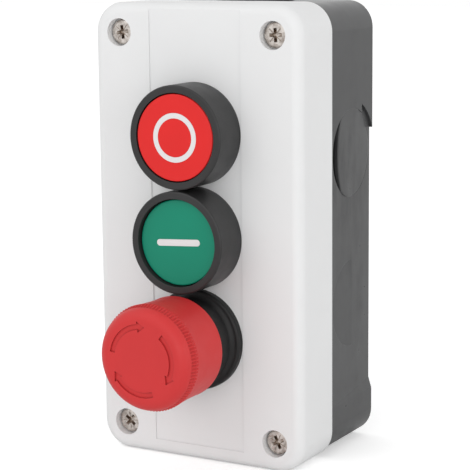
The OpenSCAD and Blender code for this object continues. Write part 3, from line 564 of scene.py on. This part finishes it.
def head_mesh():
    """The whole mushroom as one closed skin: the outside, the face, the inside and the lower rim."""
    steps = RIBS * RIB_STEPS
    outer, inner = outer_profile(), inner_profile()
    verts, faces = [], []
    for n, (r, h) in enumerate(outer + inner):
        deep = rib_gap(r, h) if n < len(outer) else 0.0
        for i in range(steps):
            a = 2 * pi * i / steps
            at = r - deep * RIB_SHAPE[i % RIB_STEPS]
            verts.append((at * cos(a), at * sin(a), h))
    face_ring, last = len(outer) - 1, len(outer) + len(inner) - 1
    for k in range(last):
        if k != face_ring:
            faces += ring_faces(k * steps, (k + 1) * steps, steps)
    faces += ring_faces(last * steps, 0, steps)
    for k in (face_ring, face_ring + 1):
        faces.append([k * steps + i for i in range(steps)])
    return mesh_from("estop_head_looks", verts, faces)


def arrow_outline(turn):
    """One curved arrow, clockwise seen from the front, as one closed outline."""
    half, tip = ARROW_W / 2, ARROW_HEAD_LEN / ARROW_R
    head = [(ARROW_R + ARROW_HEAD_W / 2, 0.0), (ARROW_R * cos(tip), -ARROW_R * sin(tip)),
            (ARROW_R - ARROW_HEAD_W / 2, 0.0)]
    outer = arc(ARROW_R + half, ARROW_SWEEP, 0, ARROW_STEPS)
    inner = arc(ARROW_R - half, 0, ARROW_SWEEP, ARROW_STEPS)
    return turned(outer + head + inner, turn)


def make_estop_head(material):
    """The ribbed red mushroom with three arrows cut into its face."""
    obj = link("estop_mushroom", head_mesh())
    for i in range(ARROWS):
        outline = arrow_outline(ARROW_START + 360 / ARROWS * i)
        cutter = prism("arrow_cutter", outline, HEAD_TOP - ARROW_DEPTH, HEAD_TOP + ARROW_CUT_H)
        cut(obj, link("arrow_cutter", cutter))
    weld(obj)
    stand(obj.data, 0, ESTOP_Z, SEAT_Y)
    shade_by_angle(obj, HEAD_SHARP)
    obj.data.materials.clear()
    obj.data.materials.append(material)
    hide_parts("estop_head")
    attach(obj, "estop_knob")


# Cover screws, with their heights above their seats

SCREW_X, SCREW_Z, POCKET_DEPTH = 25.2, 58.4, 3.2
SCREW_SEAT_Y = -(BOX_DEPTH - POCKET_DEPTH)
SCREW_R, SCREW_H, SHANK_R, SHANK_END = 3.65, 1.35, 1.75, -28.3
SHANK_TIP_W, SHANK_TIP_H, SEAT_EDGE_W, SEAT_EDGE_H = 0.4, 0.5, 0.05, 0.1
SCREW_FLAT_R, CROWN_H, CROWN_STEPS = 2.9, 0.45, 10
SCREW_STEPS, SCREW_SHARP = 64, 28

# Degrees that each corner's cross is turned by

SCREW_TURNS = {(-1, 1): 8.0, (1, 1): 3.0, (-1, -1): 50.0, (1, -1): 24.0}

# Half length, half width and height of the cross recess at its bottom and above its top

CROSS_ENDS = ((1.2, 0.34, SCREW_H - 1.3), (2.25, 0.56, SCREW_H + 0.4))
WELL = [(0.0, SCREW_H - 1.45), (0.45, SCREW_H - 1.3), (1.15, SCREW_H + 0.2), (0.0, SCREW_H + 0.2)]
WELL_STEPS = 32
MARK_FROM, MARK_TO, MARK_HALF_W, MARK_DEPTH, MARK_CUT_H = 0.95, 2.5, 0.13, 0.16, 0.5


def screw_profile():
    """(radius, height) from the end of the shank up to the middle of the crowned head."""
    low = SCREW_H - CROWN_H
    crown = [(SCREW_FLAT_R + (SCREW_R - SCREW_FLAT_R) * cos(a), low + CROWN_H * sin(a))
             for a in (radians(90 * i / CROWN_STEPS) for i in range(CROWN_STEPS + 1))]
    return [(0.0, SHANK_END), (SHANK_R - SHANK_TIP_W, SHANK_END), (SHANK_R, SHANK_END + SHANK_TIP_H),
            (SHANK_R, 0.0), (SCREW_R - SEAT_EDGE_W, 0.0), (SCREW_R, SEAT_EDGE_H),
            *crown, (0.0, SCREW_H)]


def cross_bar(turn):
    """The cutter for one bar of the cross, which narrows towards the bottom."""
    verts = []
    for reach, half, height in CROSS_ENDS:
        verts += [(x, y, height) for x, y in turned(bar(-reach, reach, half), turn)]
    faces = [[3, 2, 1, 0], [4, 5, 6, 7]] + ring_faces(0, 4, 4)
    return link("cross", mesh_from("cross", verts, faces))


def make_screw(corner):
    """One cross-recessed screw with four small marks between the arms of its cross."""
    obj = link("screw", lathe("screw", screw_profile(), SCREW_STEPS))
    turn = SCREW_TURNS[corner]
    for quarter in range(2):
        cut(obj, cross_bar(turn + 90 * quarter))
    cut(obj, link("well", lathe("well", WELL, WELL_STEPS)))
    for i in range(4):
        outline = turned(bar(MARK_FROM, MARK_TO, MARK_HALF_W), turn + 45 + 90 * i)
        cut(obj, link("mark", prism("mark", outline, SCREW_H - MARK_DEPTH, SCREW_H + MARK_CUT_H)))
    weld(obj)
    stand(obj.data, corner[0] * SCREW_X, corner[1] * SCREW_Z, SCREW_SEAT_Y)
    return obj


def make_cover_screws(material):
    """The four screws of the cover as one piece."""
    obj = joined("cross_recessed_screws", [make_screw(corner) for corner in SCREW_TURNS])
    shade_by_angle(obj, SCREW_SHARP)
    obj.data.materials.append(material)
    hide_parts("cover_screws")
    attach(obj, "root")


# Knock-out discs in the sunk seats of the upper side entries

BASE_HALF_W, ENTRY_R, ENTRY_Z, ENTRY_Y = 33.4, 13.2, 22.5, -13.9
DISC_DEPTH, CRESCENT_W, FLAT_DEPTH, SEAM = 0.95, 3.5, 1.0, 27.5
DISC_GAP, SEAT_GAP, DISC_MIN, DISC_CROWN = 0.04, 0.03, 0.02, 0.32
DISC_STEPS, DISC_RINGS, DISC_SHARP = 96, 16, 40
DISC_FOOT, RIM_MIN = -0.12, 0.03

# Share of the reach and drop below the level for each ring of the disc's rounded rim

DISC_RIM = ((0.988, 0.0), (0.993, 0.03), (0.998, 0.09), (1.0, 0.2))

# Where the disc rises to the wall, as (start, span) of a cosine or sine of the angle

FRONT_RISE, TOP_RISE, BACK_FADE = (-0.1, 0.6), (-0.1, 0.8), (-0.9, 0.7)


def eased(value, start, span):
    """Rises smoothly from 0 to 1 while the value passes the span after the start."""
    x = min(1.0, max(0.0, (value - start) / span))
    return x * x * (3 - 2 * x)


def disc_reach(a):
    """Distance from the disc's middle to its edge, which is flatter at angle 0, the front."""
    flat_r = 2 * ENTRY_R
    back = flat_r - ENTRY_R + CRESCENT_W
    flat_edge = -back * cos(a) + sqrt(flat_r ** 2 - (back * sin(a)) ** 2)
    return min(ENTRY_R - DISC_GAP, flat_edge)


def disc_level(a, share):
    """Thickness of the disc: level with the wall in front and on top, sunk to the flat behind."""
    reach = disc_reach(a) * share
    height = -ENTRY_Y + reach * cos(a)
    flat = max(DISC_MIN, DISC_DEPTH - FLAT_DEPTH * (1 - height / SEAM))
    front = eased(cos(a), *FRONT_RISE)
    top = eased(sin(a), *TOP_RISE) * eased(cos(a), *BACK_FADE)
    rise = (front + top - front * top) * share ** 3
    crown = DISC_CROWN * (1 - share ** 2)
    return min(DISC_DEPTH, flat + crown + (DISC_DEPTH - flat) * rise)


def disc_points():
    """The disc's points as (to the front, up, level): the middle, then rings out to the foot."""
    shares = [(k + 1) / DISC_RINGS for k in range(DISC_RINGS - 1)]
    rings = [(share, share, 0.0) for share in shares] + [(reach, 1.0, drop) for reach, drop in DISC_RIM]
    angles = [2 * pi * i / DISC_STEPS for i in range(DISC_STEPS)]
    points = [(0.0, 0.0, disc_level(0.0, 0.0))]
    for reach, share, drop in rings:
        for a in angles:
            level = max(DISC_FOOT + RIM_MIN, disc_level(a, share) - drop)
            points.append((disc_reach(a) * reach * cos(a), disc_reach(a) * reach * sin(a), level))
    return points + [(disc_reach(a) * cos(a), disc_reach(a) * sin(a), DISC_FOOT) for a in angles]


def make_entry_disc(side, material):
    """The knock-out disc of the right or left upper side entry, slightly crowned."""
    points = disc_points()
    faces = [[0, 1 + i, 1 + (i + 1) % DISC_STEPS] for i in range(DISC_STEPS)]
    foot = len(points) - DISC_STEPS
    for first in range(1, foot, DISC_STEPS):
        faces += ring_faces(first, first + DISC_STEPS, DISC_STEPS)
    faces.append(list(range(foot, len(points))))
    name = "entry_disc_right" if side > 0 else "entry_disc_left"
    seat = BASE_HALF_W - DISC_DEPTH - SEAT_GAP
    placed = [(side * (seat + level), ENTRY_Y - front, ENTRY_Z + up) for front, up, level in points]
    obj = link(name, mesh_from(name, placed, faces))
    shade_by_angle(obj, DISC_SHARP)
    obj.data.materials.append(material)
    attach(obj, "root")


# Springs, with the joint that squashes each, its wire's radius, its turns and the joint's travel

SPRINGS = {
    "stop_spring": ("stop_press", 0.45, 6, 4.3),
    "start_spring": ("start_press", 0.45, 6, 4.3),
    "estop_spring": ("estop_press", 0.45, 6, 5.0),
    "stop_contact_spring": ("stop_contact_slide", 0.35, 5, 4.3),
    "start_contact_spring": ("start_contact_slide", 0.35, 5, 4.3),
    "estop_contact_spring": ("estop_contact_slide", 0.35, 5, 5.0),
}
WIRE_SIDES, TURN_STEPS, WIRE_SHARP = 10, 28, 40


def coil_mesh(name, mean_r, wire_r, length, turns):
    """A coil with its axis up, its foot at 0, and closed ends."""
    steps = turns * TURN_STEPS
    rise = length - 2 * wire_r
    verts, faces = [], []
    for i in range(steps + 1):
        a = 2 * pi * i / TURN_STEPS
        for j in range(WIRE_SIDES):
            b = 2 * pi * j / WIRE_SIDES
            r = mean_r + wire_r * cos(b)
            verts.append((r * cos(a), r * sin(a), wire_r + rise * i / steps + wire_r * sin(b)))
    for i in range(steps):
        faces += ring_faces(i * WIRE_SIDES, (i + 1) * WIRE_SIDES, WIRE_SIDES)
    faces.append(list(range(WIRE_SIDES))[::-1])
    faces.append([steps * WIRE_SIDES + j for j in range(WIRE_SIDES)])
    return mesh_from(name, verts, faces)


def make_springs(material):
    """Round-wire coils in the places of the CAD's springs."""
    for node, (joint, wire_r, turns, travel) in SPRINGS.items():
        low, high = (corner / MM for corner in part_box(node))
        mean_r = (high.z - low.z) / 2 - wire_r
        length, foot, z = high.y - low.y, high.y, (low.z + high.z) / 2
        mesh = stand(coil_mesh(node + "_coil", mean_r, wire_r, length, turns), 0, z, foot)
        obj = link(node + "_coil", mesh)
        shade_by_angle(obj, WIRE_SHARP)
        obj.data.materials.append(material)
        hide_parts(node)
        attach(obj, "root")
        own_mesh(obj)


# Camera, with its angles in radians and its places in metres

CAM_AZ, CAM_EL, CAM_ROLL, CAM_DISTANCE = 0.515, 0.173, -0.010, 0.48265
CAM_TARGET = Vector((0.01279, -0.048, 0.00163))
CAM_NEAR, CAM_FAR = 0.01, 20
FOCAL_PIXELS, FRAME_PIXELS, SENSOR = 1694.5, 470.0, 36.0


def link_facing(name, data, axes, target, distance):
    """A camera or lamp at a distance from the target, which it faces."""
    right, up, back = axes
    obj = bpy.data.objects.new(name, data)
    place = Matrix((right, up, back)).transposed().to_4x4()
    place.translation = target + back * distance
    obj.matrix_world = place
    bpy.context.scene.collection.objects.link(obj)
    return obj


def view_axes(azimuth, elevation, roll=0.0):
    """Right, up and back of a view from an azimuth and elevation, in radians."""
    back = Vector((sin(azimuth) * cos(elevation), -cos(azimuth) * cos(elevation), sin(elevation)))
    right = Vector((0, 0, 1)).cross(back).normalized()
    up = back.cross(right)
    return (cos(roll) * right + sin(roll) * up, -sin(roll) * right + cos(roll) * up, back)


def make_camera():
    """The camera at the photo's viewing angle."""
    data = bpy.data.cameras.new("camera")
    data.sensor_width = SENSOR
    data.lens = FOCAL_PIXELS / FRAME_PIXELS * SENSOR
    data.clip_start, data.clip_end = CAM_NEAR, CAM_FAR
    axes = view_axes(CAM_AZ, CAM_EL, CAM_ROLL)
    bpy.context.scene.camera = link_facing("camera", data, axes, CAM_TARGET, CAM_DISTANCE)


# Floor and light

FLOOR_HALF, FLOOR_GREY, FLOOR_ROUGH, FLOOR_GLOW = 3000, 0.86, 0.9, 0.42
AMBIENT = 0.77
LAMP_TARGET = Vector((0, -0.03, 0))

# Azimuth and elevation in degrees, distance and size in metres, power in watts

LAMPS = {
    "key": (-28, 40, 1.1, 0.9, 1.4),
    "side": (74, 6, 1.2, 0.8, 2.15),
    "front": (18, 3, 1.2, 0.9, 3.4),
}


def make_floor():
    """A large pale floor that looks white to the camera but keeps the object's soft shadow."""
    mesh = mesh_from("floor", [(x, y, 0) for x, y in bar(-FLOOR_HALF, FLOOR_HALF, FLOOR_HALF)],
                     [[0, 1, 2, 3]])
    mesh.transform(Matrix.Translation((0, 0, -BOX_H / 2 * MM)))
    floor = link("floor", mesh)
    t = Tree("floor_white")
    t.set(Base_Color=(FLOOR_GREY, FLOOR_GREY, FLOOR_GREY, 1), Roughness=FLOOR_ROUGH)
    glow = t.add("ShaderNodeEmission")
    glow.inputs["Strength"].default_value = FLOOR_GLOW
    add = t.add("ShaderNodeAddShader")
    mix = t.add("ShaderNodeMixShader")
    path = t.add("ShaderNodeLightPath")
    out = t.nodes["Material Output"]
    t.join(t.shader.outputs[0], add.inputs[0])
    t.join(glow.outputs[0], add.inputs[1])
    t.join(path.outputs["Is Camera Ray"], mix.inputs[0])
    t.join(t.shader.outputs[0], mix.inputs[1])
    t.join(add.outputs[0], mix.inputs[2])
    t.join(mix.outputs[0], out.inputs["Surface"])
    floor.data.materials.append(t.material)


def make_world():
    """Even pale surroundings, at full white to the camera, in reflections and through glass."""
    world = bpy.data.worlds.new("studio")
    bpy.context.scene.world = world
    world.use_nodes = True
    nodes, links = world.node_tree.nodes, world.node_tree.links
    back = nodes["Background"]
    back.inputs["Color"].default_value = (1, 1, 1, 1)
    path = nodes.new("ShaderNodeLightPath")
    direct = path.outputs["Is Camera Ray"]
    for kind in ("Is Transmission Ray", "Is Glossy Ray"):
        either = nodes.new("ShaderNodeMath")
        either.operation = "MAXIMUM"
        links.new(direct, either.inputs[0])
        links.new(path.outputs[kind], either.inputs[1])
        direct = either.outputs[0]
    strength = nodes.new("ShaderNodeMapRange")
    strength.inputs["To Min"].default_value = AMBIENT
    strength.inputs["To Max"].default_value = 1.0
    links.new(direct, strength.inputs["Value"])
    links.new(strength.outputs["Result"], back.inputs["Strength"])


def make_lamps():
    """Large round soft lamps that face the object."""
    for name, (azimuth, elevation, distance, size, power) in LAMPS.items():
        data = bpy.data.lights.new(name, "AREA")
        data.shape = "DISK"
        data.size = size
        data.energy = power
        axes = view_axes(radians(azimuth), radians(elevation))
        link_facing(name, data, axes, LAMP_TARGET, distance)


# Build

bpy.context.scene.view_settings.view_transform = "Standard"
make_camera()
materials = make_materials()
dress_nodes(materials)
make_estop_head(materials["mushroom"])
make_cover_screws(materials["screw_steel"])
for side in (1, -1):
    make_entry_disc(side, materials["base_plastic"])
make_springs(materials["spring_steel"])
make_floor()
make_world()
make_lamps()
